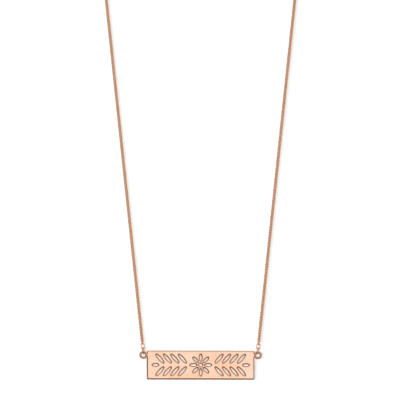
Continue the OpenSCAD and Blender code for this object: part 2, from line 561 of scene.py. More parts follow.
@dataclass(frozen=True)
class GoldFinish:
    """A finish of rose gold.

    Attributes:
        name: The material's name.
        colour: The clean metal's colour.
        drift: The colour towards which it drifts in patches.
        dull: The painted shade colour where other metal closes in.
        roughness: Roughness on the smoothest ground.
        rough_marks: What the polishing marks add to it.
        rough_dull: What the closeness of other metal adds to it.
        drift_scale: The number of patches of colour a metre.
        drift_amount: How far the colour drifts.
        recess_shade_amount: How far that painted shade darkens the colour.
        recess_shade_distance: How near other metal has to be for that painted shade.
        rub: The colour of rubbed edges.
        rub_amount: How far edges take that colour.
        rub_radius: How far from an edge it reaches.
        rub_breaks: How much finer the breaks in the rubbed edges are than the patches.
        marks_scale: The number of marks a metre.
        marks_stretch: Share of that number along X, Y and Z.
        marks_depth: Depth of the marks.
    """

    name: str
    colour: Colour
    drift: Colour
    dull: Colour
    roughness: float
    rough_marks: float = 0.08
    rough_dull: float = 0.12
    drift_scale: float = 700
    drift_amount: float = 0.7
    recess_shade_amount: float = 0.7
    recess_shade_distance: float = 0.4 * MM
    rub: Colour = (1.0, 0.74, 0.56)
    rub_amount: float = 0.3
    rub_radius: float = 0.05 * MM
    rub_breaks: float = 3
    marks_scale: float = 9000
    marks_stretch: Triple = (1.0, 1.0, 0.2)
    marks_depth: float = 0.0008 * MM

    def material(self) -> bpy.types.Material:
        """The look of this finish, built on its first use.

        Returns:
            The material.
        """
        if self.name in bpy.data.materials:
            return bpy.data.materials[self.name]
        material = bpy.data.materials.new(self.name)
        board = board_of(material)
        tone = Effect.TONE_DRIFT.put(board, Colour=self.colour, Other=self.drift, Scale=self.drift_scale,
                                     Amount=self.drift_amount)
        marks = Effect.POLISH_MARKS.put(board, Stretch=self.marks_stretch, Scale=self.marks_scale)
        rub = Effect.EDGE_RUB.put(board, Radius=self.rub_radius, Scale=self.drift_scale * self.rub_breaks)
        # Painted shade: the colour darkens where other metal closes in, as ambient occlusion finds it; the
        # same closeness adds roughness.
        recess = Effect.RECESS.put(board, Distance=self.recess_shade_distance)
        colour = board.blend(board.maths("MULTIPLY", rub, self.rub_amount), tone, self.rub)
        colour = board.blend(board.maths("MULTIPLY", recess, self.recess_shade_amount), colour, self.dull)
        rough = board.maths("MULTIPLY_ADD", marks.outputs["Mask"], self.rough_marks, self.roughness)
        rough = board.maths("MULTIPLY_ADD", recess, self.rough_dull, rough)
        bump = board.add("Bump", Strength=1.0, Distance=self.marks_depth, Height=marks.outputs["Height"])
        shader = board.add("BsdfPrincipled", Base_Color=colour, Metallic=1.0, Roughness=rough, Normal=bump)
        board.add("OutputMaterial", shader)
        return material


# The face's large paler and more orange patches, at 100 a metre, stand in for uneven reflections across it:
# painted reflection, laid out at random like a tone.
BAR_POLISH = GoldFinish(
    name="bar_polish", colour=(0.945, 0.555, 0.35), drift=(0.955, 0.68, 0.535), dull=(0.62, 0.36, 0.22),
    drift_scale=100, drift_amount=1.0, recess_shade_amount=0.6, recess_shade_distance=0.5 * MM, rub_amount=0.5,
    rub_radius=0.1 * MM, roughness=0.13, rough_marks=0.05, rough_dull=0.1, marks_scale=5200,
    marks_stretch=(0.12, 1.0, 1.0))
# The walls' darker colour is painted shade, as they catch little light; their greater roughness and marks
# are the sawn grain.
BAR_SAWN_SHADED = GoldFinish(
    name="bar_sawn_shaded", colour=(0.86, 0.5, 0.31), drift=(0.78, 0.44, 0.26), dull=(0.46, 0.25, 0.14),
    drift_scale=900, drift_amount=0.8, recess_shade_distance=0.8 * MM, rub=(1.0, 0.7, 0.5), rub_radius=0.08 * MM,
    roughness=0.42, rough_marks=0.12, marks_stretch=(1.0, 0.08, 1.0), marks_depth=0.002 * MM)
# The openings' front edges are polished like the face; their darker colour is painted shade, for the dark
# outlines round each opening.
BAR_CUT_SHADED = GoldFinish(
    name="bar_cut_shaded", colour=(0.78, 0.51, 0.36), drift=(0.68, 0.43, 0.29), dull=(0.45, 0.27, 0.17),
    drift_scale=900, recess_shade_amount=0.6, rub=(1.0, 0.7, 0.5), rub_amount=0.2, roughness=0.2,
    marks_stretch=(1.0, 0.08, 1.0), marks_depth=0.001 * MM)
# The rings are the bar's own polished gold; their darker colour is painted shade, for the dim room that they
# mirror.
BAR_RING_SHADED = GoldFinish(
    name="bar_ring", colour=(0.62, 0.38, 0.26), drift=(0.52, 0.315, 0.215), dull=(0.4, 0.25, 0.17),
    roughness=0.14, rough_marks=0.06, marks_scale=8000)
WIRE_POLISH = GoldFinish(
    name="wire_polish", colour=(0.98, 0.57, 0.35), drift=(0.98, 0.62, 0.42), dull=(0.55, 0.32, 0.2),
    drift_amount=0.6, recess_shade_amount=0.75, recess_shade_distance=0.35 * MM, rub=(1.0, 0.78, 0.64), roughness=0.12,
    rough_marks=0.06, marks_scale=8000)
CHAIN_POLISH = GoldFinish(
    name="chain_polish", colour=(0.995, 0.605, 0.385), drift=(0.98, 0.56, 0.34), dull=(0.56, 0.32, 0.19),
    drift_scale=350, drift_amount=0.8, recess_shade_amount=0.52, recess_shade_distance=0.22 * MM, rub=(1.0, 0.72, 0.54),
    rub_radius=0.04 * MM, roughness=0.2, rough_dull=0.15, marks_stretch=(1.0, 1.0, 0.3))


class BarSurface(Enum):
    """The surfaces of the bar, each with its finish, in the order of the numbers that its faces carry."""

    # The wall, the openings' front edges and the rings carry darker copies of the face's gold: painted
    # shade.
    FACE = BAR_POLISH
    WALL = BAR_SAWN_SHADED
    OPENING_EDGE = BAR_CUT_SHADED
    RING = BAR_RING_SHADED

    @classmethod
    def finishes(cls) -> list[GoldFinish]:
        """All finishes in the order of their numbers."""
        return [surface.value for surface in cls]

    @property
    def number(self) -> int:
        """The number that the surface's faces carry."""
        return list(BarSurface).index(self)


def put_finishes(piece: Piece, finishes: Sequence[GoldFinish]) -> None:
    """Gives a piece those materials that it still lacks.

    Args:
        piece: The piece.
        finishes: Its finishes in the order of its faces' numbers.
    """
    slots = piece.data.materials
    for finish in finishes[len(slots):]:
        slots.append(finish.material())


def dress(piece: Piece, nodes: Sequence[str], finishes: Sequence[GoldFinish]) -> None:
    """Gives a piece its materials and its place in the frame, and reports it.

    Args:
        piece: The finished piece.
        nodes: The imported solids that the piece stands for.
        finishes: The finishes in the order of the mesh's material numbers.
    """
    put_finishes(piece, finishes)
    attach(piece, BODY)
    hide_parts(*nodes)
    triangles = sum(len(face.vertices) - 2 for face in piece.data.polygons)
    LOG.info("%s: %d triangles, in place of %s", piece.name, triangles, ", ".join(nodes))


# The bar


@dataclass(frozen=True)
class EdgeForm:
    """The section that polish gives an edge: a bevel whose ends run softly into both sides.

    Attributes:
        size: How far it reaches along each side.
        soft_r: Radius of its ends. A full round has the same radius as size.
        steps: Steps round each end.
    """

    size: float
    soft_r: float
    steps: int

    def points(self) -> list[Point]:
        """The corners of the section, from the face to the wall.

        Returns:
            Each corner's distance from the wall and depth below the face.
        """
        angles = [math.radians(45 * step / self.steps) for step in range(self.steps + 1)]
        low = [(self.size - self.soft_r * math.sin(angle), self.soft_r * (1 - math.cos(angle)))
               for angle in angles]
        return low + [(depth, inset) for inset, depth in reversed(low)]


@dataclass
class Ornament:
    """The openings of the bar: a rosette between two leafy branches.

    Attributes:
        width: Width of the field that it fills.
        height: Height of that field.
        eye_d: Diameter of the round opening in the middle.
        eye_wall: Metal between that opening and the petals.
        petals: Number of petals.
        petal_w: Greatest width of a petal.
        leaf_w: Greatest width of a leaf.
        leaf_lean: Lean of the leaves away from the bar's length, in degrees.
        leaf_wall: Metal between one leaf and the next.
        stem_w: Width of the stem between the leaves.
        tip_r: Radius that the saw leaves at the tips.
        steps: Steps along each side of a leaf.
    """

    width: float
    height: float
    eye_d: float = 0.9 * MM
    eye_wall: float = 0.7 * MM
    petals: int = 8
    petal_w: float = 0.6 * MM
    leaf_w: float = 0.6 * MM
    leaf_lean: float = 48
    leaf_wall: float = 1.05 * MM
    stem_w: float = 1.1 * MM
    tip_r: float = 0.09 * MM
    steps: int = 20

    def leaf(self, start: Point, lean: float, length: float, width: float) -> Line:
        """A leaf-shaped opening.

        Args:
            start: Where its first tip lies.
            lean: Its direction, in degrees.
            length: Its length.
            width: Its greatest width.

        Returns:
            The opening's line.
        """
        angle = math.radians(lean)
        middle = (start[0] + length / 2 * math.cos(angle), start[1] + length / 2 * math.sin(angle))
        return moved(leaf_line(length, width, self.tip_r, self.steps), middle, lean)

    def rosette(self) -> list[Line]:
        """The round opening and the petals about it.

        Returns:
            The line of each opening.
        """
        start = self.eye_d / 2 + self.eye_wall
        length = self.height / 2 - start
        openings = [circle_line(self.eye_d / 2, 3 * self.steps)]
        for petal in range(self.petals):
            turn = 90 + 360 * petal / self.petals
            angle = math.radians(turn)
            tip = (start * math.cos(angle), start * math.sin(angle))
            openings.append(self.leaf(tip, turn, length, self.petal_w))
        return openings

    def branch(self) -> list[Line]:
        """The leaves to the right of the rosette, in pairs along a stem that ends in a leaf of its own.

        Returns:
            The line of each opening.
        """
        lean = math.radians(self.leaf_lean)
        start = self.height / 2 + self.leaf_wall
        length = (self.height - self.stem_w) / 2 / math.sin(lean)
        pitch = (self.leaf_w + self.leaf_wall) / math.sin(lean)
        room = self.width / 2 - start - length * math.cos(lean)
        pairs = 1 + math.floor(room / pitch)
        openings = []
        for pair in range(pairs):
            for side in (-1, 1):
                tip = (start + pair * pitch, side * self.stem_w / 2)
                openings.append(self.leaf(tip, side * self.leaf_lean, length, self.leaf_w))
        end_start = start + (pairs - 1) * pitch + self.leaf_wall + self.stem_w / 2
        openings.append(self.leaf((end_start, 0), 0, self.width / 2 - end_start, self.leaf_w))
        return openings

    def openings(self) -> list[Line]:
        """All openings, about the bar's middle."""
        branch = self.branch()
        return [*self.rosette(), *branch, *(mirrored(opening) for opening in branch)]


@dataclass
class Nameplate:
    """The pierced bar with a wire ring soldered to each end.

    Attributes:
        ring_od: Outside diameter of the rings.
        ring_wire: Wire of the rings.
        ring_step: Step from the bar's upper edge down to the rings.
        solder_depth: How far the rings are sunk in the bar's ends.
        fillet_r: Radius of the solder between each ring and the bar's end.
        solder_t: Thickness of that solder.
        pad_d: Diameter of the solder pad that fills the bar's bevel beside each ring.
        pad_step: How far that pad lies below the bar's faces.
        pad_rim: Size of the pad's bevel.
        end_border: Plain metal at each end of the ornament.
        edge_border: Plain metal above and below the ornament.
        corner_r: Radius of the bar's corners.
        corner_steps: Steps round each corner, and along each line of the solder.
        pad_sides: Sides of the solder pads.
        ring_steps: Steps round each ring.
        ring_sides: Sides round the rings' wire.
        sharp_angle: Angle between faces, in degrees, above which an edge stays crisp.
        front_edge: The form of the bar's own front edges.
        opening_edge: The form of the front edges of its openings.
        back_edge: The form of all back edges.
    """

    ring_od: float = 2.4 * MM
    ring_wire: float = 0.65 * MM
    ring_step: float = 0.1 * MM
    solder_depth: float = 0.2 * MM
    fillet_r: float = 0.18 * MM
    solder_t: float = 0.36 * MM
    pad_d: float = 1.7 * MM
    pad_step: float = 0.02 * MM
    pad_rim: float = 0.1 * MM
    end_border: float = 1.65 * MM
    edge_border: float = 1.1 * MM
    corner_r: float = 0.45 * MM
    corner_steps: int = 8
    pad_sides: int = 48
    ring_steps: int = 96
    ring_sides: int = 28
    sharp_angle: float = 35
    front_edge: EdgeForm = EdgeForm(size=0.42 * MM, soft_r=0.16 * MM, steps=4)
    opening_edge: EdgeForm = EdgeForm(size=0.36 * MM, soft_r=0.12 * MM, steps=4)
    back_edge: EdgeForm = EdgeForm(size=0.1 * MM, soft_r=0.1 * MM, steps=2)

    def __post_init__(self) -> None:
        """Works the bar's own sizes out from its solid."""
        low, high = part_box("nameplate")
        self.width = high.x - low.x - 2 * (self.ring_od - self.solder_depth)
        self.height = high.z - low.z
        self.thickness = high.y - low.y
        self.middle_z = (high.z + low.z) / 2
        self.ring_x = high.x - self.ring_od / 2
        self.ring_z = high.z - self.ring_step - self.ring_od / 2

    def section(self, edge: EdgeForm) -> list[Point]:
        """The section of a wall and its edges: how far in it lies from the wall, and its place along Y.

        Args:
            edge: The form of its front edge.

        Returns:
            The section's corners, from the front to the back.
        """
        half = self.thickness / 2
        front = [(inset, depth - half) for inset, depth in edge.points()]
        back = [(inset, half - depth) for inset, depth in reversed(self.back_edge.points())]
        return front + back

    def bar_shell(self) -> Shell:
        """Forms the bar without its rings, pierced, with every edge rounded.

        Returns:
            The bar's shell, in place.
        """
        ornament = Ornament(self.width - 2 * self.end_border, self.height - 2 * self.edge_border)
        wall_row = len(self.front_edge.points()) - 1
        shell = Shell([], [])
        rims: list[tuple[int, int]] = []
        lines = [(bar_line(self.width, self.height, self.corner_r, self.corner_steps), -1)]
        lines += [(opening, 1) for opening in ornament.openings()]
        for line, inward in lines:
            profile = self.section(self.front_edge if inward < 0 else self.opening_edge)
            start = len(shell.points)
            for inset, depth in profile:
                for point, normal in line:
                    place = point + normal * inward * inset
                    shell.points.append(Vector((place.x, depth, place.y + self.middle_z)))
            count = len(line)
            for row in range(len(profile) - 1):
                for column in range(count):
                    after = (column + 1) % count
                    low = start + row * count
                    corners = (low + column, low + after, low + count + after, low + count + column)
                    # The walls and the openings' front edges take darker finishes that paint shade on them.
                    if row == wall_row:
                        shell.finish[len(shell.faces)] = BarSurface.WALL.number
                    elif row < wall_row and inward > 0:
                        shell.finish[len(shell.faces)] = BarSurface.OPENING_EDGE.number
                    shell.faces.append(corners[::-1] if inward < 0 else corners)
            rims.append((start, count))
        back_row = len(self.section(self.front_edge)) - 1
        self.close_faces(shell, rims, True)
        self.close_faces(shell, [(start + back_row * count, count) for start, count in rims], False)
        return shell

    def close_faces(self, shell: Shell, rims: Sequence[tuple[int, int]], front: bool) -> None:
        """Fills the plane between the bar's rim and the rims of its openings.

        Each opening is convex, so a triangle with all its corners on one opening's rim lies in that opening.

        Args:
            shell: The shell that gets the faces.
            rims: First point and number of points of each rim, the bar's own first.
            front: True for the side that looks along -Y.
        """
        numbers = [start + step for start, count in rims for step in range(count)]
        owners = [rim for rim, (_, count) in enumerate(rims) for _ in range(count)]
        flat = [Vector((shell.points[number].x, shell.points[number].z)) / MM for number in numbers]
        edges = []
        first = 0
        for _, count in rims:
            edges += [(first + step, first + (step + 1) % count) for step in range(count)]
            first += count
        _, _, triangles, sources, _, _ = delaunay_2d_cdt(flat, edges, [], FILL_INSIDE, SAME_POINT)
        for triangle in triangles:
            corners = [sources[corner][0] for corner in triangle]
            touched = {owners[corner] for corner in corners}
            if len(touched) == 1 and touched != {0}:
                continue
            shell.flat.add(len(shell.faces))
            face = tuple(numbers[corner] for corner in corners)
            shell.faces.append(face if front else face[::-1])

    def solder_shell(self, side: Side) -> Shell:
        """The solder that fills the corners above and below where a ring meets the bar's end.

        Args:
            side: The end of the bar.

        Returns:
            A thin web with hollow upper and lower sides.
        """
        outer_r = self.ring_od / 2
        bar_end = self.solder_depth - outer_r
        middle_x = bar_end + self.fillet_r
        reach = math.sqrt((outer_r + self.fillet_r) ** 2 - middle_x ** 2)
        meeting = math.atan2(reach, middle_x)
        steps = self.corner_steps
        upper: list[Point] = [(bar_end - self.solder_depth, reach)]
        for step in range(steps + 1):
            angle = math.pi + meeting * step / steps
            x = middle_x + self.fillet_r * math.cos(angle)
            upper.append((x, reach + self.fillet_r * math.sin(angle)))
        middle_r = (self.ring_od - self.ring_wire) / 2
        for step in range(steps):
            angle = meeting + (math.pi - meeting) * step / steps
            upper.append((middle_r * math.cos(angle), middle_r * math.sin(angle)))
        corners = upper + [(x, -z) for x, z in reversed(upper)]
        half = self.solder_t / 2
        turn = -side.value
        points = [Vector((side.value * (self.ring_x + x), depth * turn, self.ring_z + z))
                  for depth in (-half, half) for x, z in corners]
        count = len(corners)
        faces: list[tuple[int, ...]] = [tuple(range(count)), tuple(range(2 * count - 1, count - 1, -1))]
        for corner in range(count):
            after = (corner + 1) % count
            faces.append((after, corner, corner + count, after + count))
        return Shell(points, faces, {0, 1})

    def pad_shell(self, side: Side) -> Shell:
        """The solder pad that makes the bar's faces whole up to its end beside a ring.

        Args:
            side: The end of the bar.

        Returns:
            The pad's shell, in place within the bar.
        """
        radius = self.pad_d / 2
        half = self.thickness / 2 - self.pad_step
        lower = [(0.0, -half), (radius - self.pad_rim, -half), (radius, self.pad_rim - half)]
        pad = turned_shell(lower + [(out, -height) for out, height in reversed(lower)], self.pad_sides)
        middle = Matrix.Translation((side.value * (self.width / 2 - radius), 0, self.ring_z))
        return pad.placed(middle @ Matrix.Rotation(math.radians(90), 4, "X"))

    def end_ring_shell(self, side: Side) -> Shell:
        """A soldered wire ring, in the plane of the bar.

        Args:
            side: The end of the bar.

        Returns:
            The ring's shell, in place.
        """
        ring = ring_shell(self.ring_od, self.ring_wire, self.ring_steps, self.ring_sides)
        # The ring takes the darker finish that paints shade on it.
        ring.finish.update(dict.fromkeys(range(len(ring.faces)), BarSurface.RING.number))
        return ring.placed(Matrix.Translation((side.value * self.ring_x, 0, self.ring_z)))

    def build(self) -> Piece:
        """Makes the bar with both rings soldered on.

        Returns:
            The bar.
        """
        bar = make_object("nameplate_gold", self.bar_shell())
        parts = []
        for side in Side:
            parts.append(make_object(f"ring_{side.word}", self.end_ring_shell(side)))
            parts.append(make_object(f"solder_{side.word}", self.solder_shell(side)))
            parts.append(make_object(f"pad_{side.word}", self.pad_shell(side)))
        for piece in (bar, *parts):
            put_finishes(piece, BarSurface.finishes())
        fuse(bar, parts, self.sharp_angle)
        return bar

    def dress(self, piece: Piece) -> None:
        """Gives each surface of the bar its finish."""
        dress(piece, ["nameplate"], BarSurface.finishes())


# The loop


@dataclass(frozen=True)
class LoopLine:
    """The centre line of one half of the loop: a straight stretch and a round bend over the crown.

    Attributes:
        hang_x: How far from the middle the line begins, at the height of the bar's rings.
        drop: Height of the crown above the bar's rings.
        bend_r: Radius of the bend's centre line.
        form_r: Radius of what the loop hangs over.
    """

    hang_x: float
    drop: float
    bend_r: float
    form_r: float

    @property
    def straight_len(self) -> float:
        """Length of the straight stretch."""
        span = math.hypot(self.hang_x, self.drop - self.form_r)
        return math.sqrt(span ** 2 - self.bend_r ** 2)

    @property
    def lean(self) -> float:
        """Outward lean of the straight stretch, as an angle."""
        span = math.hypot(self.hang_x, self.drop - self.form_r)
        return math.asin(self.bend_r / span) - math.atan2(self.hang_x, self.drop - self.form_r)

    def place(self, side: Side, length: float) -> Matrix:
        """A place on the line, with X across it in the loop's plane, Y away from the front and Z along it.

        Args:
            side: The half of the loop.
            length: The length along the line from the middle of the bar's ring.

        Returns:
            The place as a matrix.
        """
        lean = self.lean
        past = length - self.straight_len
        if past < 0:
            along = Vector((math.sin(lean), math.cos(lean)))
            point = Vector((self.hang_x, -self.drop)) + along * length
        else:
            angle = math.pi / 2 + lean - past / self.bend_r
            along = Vector((-math.cos(angle), math.sin(angle)))
            point = Vector((self.bend_r * math.sin(angle), self.bend_r * math.cos(angle) - self.form_r))
        sign = side.value
        return Matrix((
            (along.y, 0, sign * along.x, sign * point.x),
            (0, 1, 0, 0),
            (-sign * along.x, 0, along.y, point.y),
            (0, 0, 0, 1),
        ))

    def length_near(self, middle: Point, distance: float) -> float:
        """The length along the line at which the bend is a distance from a point beside the crown.

        Args:
            middle: The point, as its distance from the middle and its height.
            distance: The distance.

        Returns:
            The length from the bar's ring.
        """
        up = middle[1] + self.form_r
        out = math.hypot(middle[0], up)
        cosine = (out ** 2 + self.bend_r ** 2 - distance ** 2) / (2 * out * self.bend_r)
        angle = math.atan2(middle[0], up) + math.acos(cosine)
        return self.straight_len + (math.pi / 2 + self.lean - angle) * self.bend_r


@dataclass(frozen=True)
class OvalLink:
    """A closed link with straight sides and round ends, bent from wire and soldered in one side.

    Attributes:
        length: Outside length.
        width: Outside width.
        wire: Wire thickness.
        bow_steps: Steps round each end.
        sides: Sides round the wire.
        leg_steps: Steps along the soldered side.
        seam: How much thinner the file left the wire where it is soldered, as a share.
    """

    length: float
    width: float
    wire: float
    bow_steps: int
    sides: int
    leg_steps: int = 6
    seam: float = 0.06

    def shell(self) -> Shell:
        """Bends the link about the origin, along Z, in the plane of X and Z.

        Returns:
            The link's shell.
        """
        bow_r = (self.width - self.wire) / 2
        half = (self.length - self.width) / 2
        line = arc((0, half), bow_r, 0, 180, self.bow_steps) + straight((-bow_r, half), (-bow_r, -half), 2)
        line += arc((0, -half), bow_r, 180, 180, self.bow_steps)
        line += straight((bow_r, -half), (bow_r, half), self.leg_steps)
        reach = max(2 * half / self.leg_steps, self.wire / 2)
        radii = []
        for point, _ in line:
            on_leg = point.x > 0.99 * bow_r
            near = math.exp(-(point.y / reach) ** 2) if on_leg else 0.0
            radii.append(self.wire / 2 * (1 - self.seam * near))
        return wire_shell(line, radii, self.sides)


@dataclass
class HangingLinks:
    """The oval ring through a bar ring, and the link above it that the chain starts from.

    Attributes:
        side: The half of the loop.
        line: The loop's centre line.
        bar_ring_od: Outside diameter of the bar's rings.
        bar_ring_wire: Wire of the bar's rings.
        aside: How far inside the middle of the bar's ring the loop's line begins.
        gap: Gap between rings and links that hold each other.
        jump: The oval ring.
        jump_turn: Its turn about the chain's line, in degrees.
        end: The link above it.
    """

    side: Side
    line: LoopLine
    bar_ring_od: float
    bar_ring_wire: float
    aside: float
    gap: float = 0.1 * MM
    jump: OvalLink = OvalLink(length=2.3 * MM, width=1.72 * MM, wire=0.36 * MM, bow_steps=28, sides=20)
    jump_turn: float = 15
    end: OvalLink = OvalLink(length=2.0 * MM, width=1.2 * MM, wire=0.3 * MM, bow_steps=28, sides=20)

    @property
    def jump_low(self) -> float:
        """Where the oval ring begins, counted from the height of the bar ring's middle."""
        inner_r = self.bar_ring_od / 2 - self.bar_ring_wire
        return math.sqrt(inner_r ** 2 - self.aside ** 2) - self.gap - self.jump.wire

    @property
    def end_low(self) -> float:
        """Where the link above it begins."""
        return self.jump_low + self.jump.length - self.jump.wire - self.gap - self.end.wire

    @property
    def top(self) -> float:
        """The underside of the end link's upper wire, which the chain's first link hangs on."""
        return self.end_low + self.end.length - self.end.wire

    def build(self) -> dict[str, Piece]:
        """Makes both links.

        Returns:
            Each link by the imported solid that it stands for.
        """
        turn = Matrix.Rotation(math.radians(90 - self.side.value * self.jump_turn), 4, "Z")
        jump_place = self.line.place(self.side, self.jump_low + self.jump.length / 2) @ turn
        end_place = self.line.place(self.side, self.end_low + self.end.length / 2)
        links = {"jump_ring": (self.jump, jump_place), "end_link": (self.end, end_place)}
        pieces = {}
        for name, (link, place) in links.items():
            node = f"{name}_{self.side.word}"
            pieces[node] = make_object(f"{node}_wire", link.shell().placed(place))
        return pieces

    def dress(self, pieces: dict[str, Piece]) -> None:
        """Polishes both links."""
        for node, piece in pieces.items():
            dress(piece, [node], [WIRE_POLISH])


@dataclass
class ChainHalf:
    """One half of the cable chain, link by link.

    Attributes:
        side: The half of the loop.
        line: The loop's centre line.
        start: The underside of the wire that its first link hangs on, along the line.
        holder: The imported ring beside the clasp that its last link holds.
        link: The link.
        play: Gap between one link and the next.
        turn: Turn of each link from the loop's plane, in degrees.
        end_turn: Turn of the first and last link, which hold rings that lie in that plane.
        sway: Greatest random turn of a link, in degrees.
    """

    side: Side
    line: LoopLine
    start: float
    holder: str
    link: OvalLink = OvalLink(length=1.49 * MM, width=1.2 * MM, wire=0.34 * MM, bow_steps=12, sides=10)
    play: float = 0.008 * MM
    turn: float = 45
    end_turn: float = 67.5
    sway: float = 3.5

    def link_lengths(self) -> list[float]:
        """Spaces the links evenly between the rings that the first one and the last one hold.

        Returns:
            The length along the line of each link's middle.
        """
        half = self.link.length / 2 - self.link.wire
        first = self.start - self.play + half
        low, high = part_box(self.holder)
        middle = (abs(low.x + high.x) / 2, (low.z + high.z) / 2)
        inner_r = (high.z - low.z) / 2 - (high.y - low.y)
        last = self.line.length_near(middle, inner_r - self.play + half)
        steps = math.ceil((last - first) / (2 * half - self.play))
        return [first + (last - first) * step / steps for step in range(steps + 1)]

    def link_turn(self, number: int, count: int, sway: float) -> float:
        """The turn of a link about the line, in degrees.

        Args:
            number: The link's number, from 0.
            count: The number of links.
            sway: Its own random turn.

        Returns:
            The turn from the loop's plane.
        """
        sign = 1 if number % 2 == 0 else -1
        if number in (0, count - 1):
            return sign * self.end_turn
        return sign * self.turn + sway

    def build(self) -> Piece:
        """Makes the half chain in one mesh.

        Returns:
            The half chain.
        """
        draw = random.Random(SEED + self.side.value)
        lengths = self.link_lengths()
        template = self.link.shell()
        links = []
        for number, length in enumerate(lengths):
            turn = self.link_turn(number, len(lengths), draw.uniform(-self.sway, self.sway))
            place = self.line.place(self.side, length) @ Matrix.Rotation(math.radians(turn), 4, "Z")
            links.append(template.placed(place))
        return make_object(f"chain_{self.side.word}_links", joined(links))

    def dress(self, piece: Piece) -> None:
        """Gives the half chain its finish."""
        dress(piece, [f"chain_{self.side.word}"], [CHAIN_POLISH])


@dataclass
class Clasp:
    """The spring ring, flat on the crown, and the plain rings on both sides of it.

    Attributes:
        od: Outside diameter of the spring ring.
        tube: Its tube.
        bolt: The thinner bolt that closes its mouth.
        mouth: Where the mouth begins and ends, in degrees from the side of the closing ring.
        loop_od: Outside diameter of the clasp's own loop.
        loop_wire: Wire of that loop.
        solder_depth: How far that loop is sunk in the tube.
        nub_angle: Where the thumb nub stands, in degrees.
        nub_d: Diameter of the nub.
        nub_len: How far it stands out of the tube.
        nub_sides: Sides round it.
        dome_steps: Steps up its rounded end.
        steps: Steps round the spring ring.
        sides: Sides round its tube.
        lip: Steepness of the tube's ends, as the angle that they take, in degrees.
        loop_steps: Steps round the clasp's own loop.
        loop_sides: Sides round its wire.
        sharp_angle: Angle between faces, in degrees, above which an edge stays crisp.
        plain_steps: Steps round each plain ring.
        plain_sides: Sides round the wire of the plain rings.
        seam: How much thinner a plain ring is where it is soldered, as a share.
        seam_reach: How far from there it is back at its thickness.
    """

    od: float = 4.9 * MM
    tube: float = 1.0 * MM
    bolt: float = 0.74 * MM
    mouth: Point = (14, 44)
    loop_od: float = 1.9 * MM
    loop_wire: float = 0.45 * MM
    solder_depth: float = 0.2 * MM
    nub_angle: float = 55
    nub_d: float = 0.7 * MM
    nub_len: float = 0.7 * MM
    nub_sides: int = 28
    dome_steps: int = 6
    steps: int = 144
    sides: int = 36
    lip: float = 0.6
    loop_steps: int = 64
    loop_sides: int = 20
    sharp_angle: float = 40
    plain_steps: int = 96
    plain_sides: int = 24
    seam: float = 0.07
    seam_reach: float = 0.12 * MM

    def tube_shell(self) -> Shell:
        """Bends the tube, with a mouth in which the thinner bolt shows.

        Returns:
            The tube's shell.
        """
        middle_r = (self.od - self.tube) / 2
        step_angle = 360 / self.steps
        angles = [self.mouth[0] - self.lip, *self.mouth, self.mouth[1] + self.lip]
        angles += [-180 + step_angle * step for step in range(self.steps)]
        line = []
        radii = []
        for angle in sorted(angles):
            normal = Vector((math.cos(math.radians(angle)), math.sin(math.radians(angle))))
            line.append((normal * middle_r, normal))
            in_mouth = self.mouth[0] <= angle <= self.mouth[1]
            radii.append((self.bolt if in_mouth else self.tube) / 2)
        return wire_shell(line, radii, self.sides)

    def nub_shell(self) -> Shell:
        """Turns the thumb nub, from the tube's middle outwards along Z.

        Returns:
            The nub's shell.
        """
        radius = self.nub_d / 2
        top = self.tube / 2 + self.nub_len
        neck = radius * 0.72
        head_low = top - radius * 1.1
        neck_top = head_low - radius * 0.25
        dome_h = radius * 0.6
        profile = [(0.0, 0.0), (neck, 0.0), (neck, neck_top), (radius, head_low)]
        for step in range(self.dome_steps):
            angle = math.radians(90 * step / self.dome_steps)
            profile.append((radius * math.cos(angle), top - dome_h + dome_h * math.sin(angle)))
        profile.append((0.0, top))
        return turned_shell(profile, self.nub_sides)

    def build_clasp(self) -> Piece:
        """Makes the spring ring with its loop and nub, all in one.

        Returns:
            The clasp.
        """
        lift = Matrix.Translation((0, 0, self.tube / 2))
        lying = lift @ Matrix.Rotation(math.radians(-90), 4, "X")
        clasp = make_object("clasp_spring_ring", self.tube_shell().placed(lying))
        loop_x = (self.od + self.loop_od) / 2 - self.solder_depth
        loop = ring_shell(self.loop_od, self.loop_wire, self.loop_steps, self.loop_sides)
        loop_piece = make_object("clasp_loop", loop.placed(lying @ Matrix.Translation((-loop_x, 0, 0))))
        aside = Matrix.Rotation(math.radians(self.nub_angle), 4, "Z")
        outward = aside @ Matrix.Rotation(math.radians(90), 4, "Y")
        nub_place = lift @ outward @ Matrix.Translation((0, 0, (self.od - self.tube) / 2))
        nub_piece = make_object("clasp_nub", self.nub_shell().placed(nub_place))
        fuse(clasp, [loop_piece, nub_piece], self.sharp_angle)
        return clasp

    def build_ring(self, node: str) -> Piece:
        """Makes a plain wire ring in place of a packed one in the loop's plane.

        Args:
            node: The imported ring.

        Returns:
            The ring.
        """
        low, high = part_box(node)
        wire = high.y - low.y
        middle_r = (high.x - low.x - wire) / 2
        line = circle_line(middle_r, self.plain_steps)
        radii = []
        for _, normal in line:
            off_joint = math.acos(max(-1.0, min(1.0, normal.y))) * middle_r
            radii.append(wire / 2 * (1 - self.seam * math.exp(-(off_joint / self.seam_reach) ** 2)))
        ring = wire_shell(line, radii, self.plain_sides).placed(Matrix.Translation((low + high) / 2))
        return make_object(f"{node}_wire", ring)

    def build(self) -> dict[str, Piece]:
        """Makes the clasp and both rings beside it.

        Returns:
            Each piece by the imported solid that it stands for.
        """
        pieces = {"clasp": self.build_clasp()}
        for node in ("clasp_ring", "end_ring"):
            pieces[node] = self.build_ring(node)
        return pieces

    def dress(self, pieces: dict[str, Piece]) -> None:
        """Polishes the clasp and its rings."""
        for node, piece in pieces.items():
            dress(piece, [node], [WIRE_POLISH])


# The studio


def stand(thing: Piece, place: Vector, way: Vector) -> None:
    """Stands a lamp or a camera somewhere and links it to the scene.

    Args:
        thing: The lamp or camera.
        place: Where it stands.
        way: The direction in which it looks.
    """
    thing.location = place
    thing.rotation_mode = "QUATERNION"
    thing.rotation_quaternion = way.to_track_quat("-Z", "Y")
    bpy.context.scene.collection.objects.link(thing)


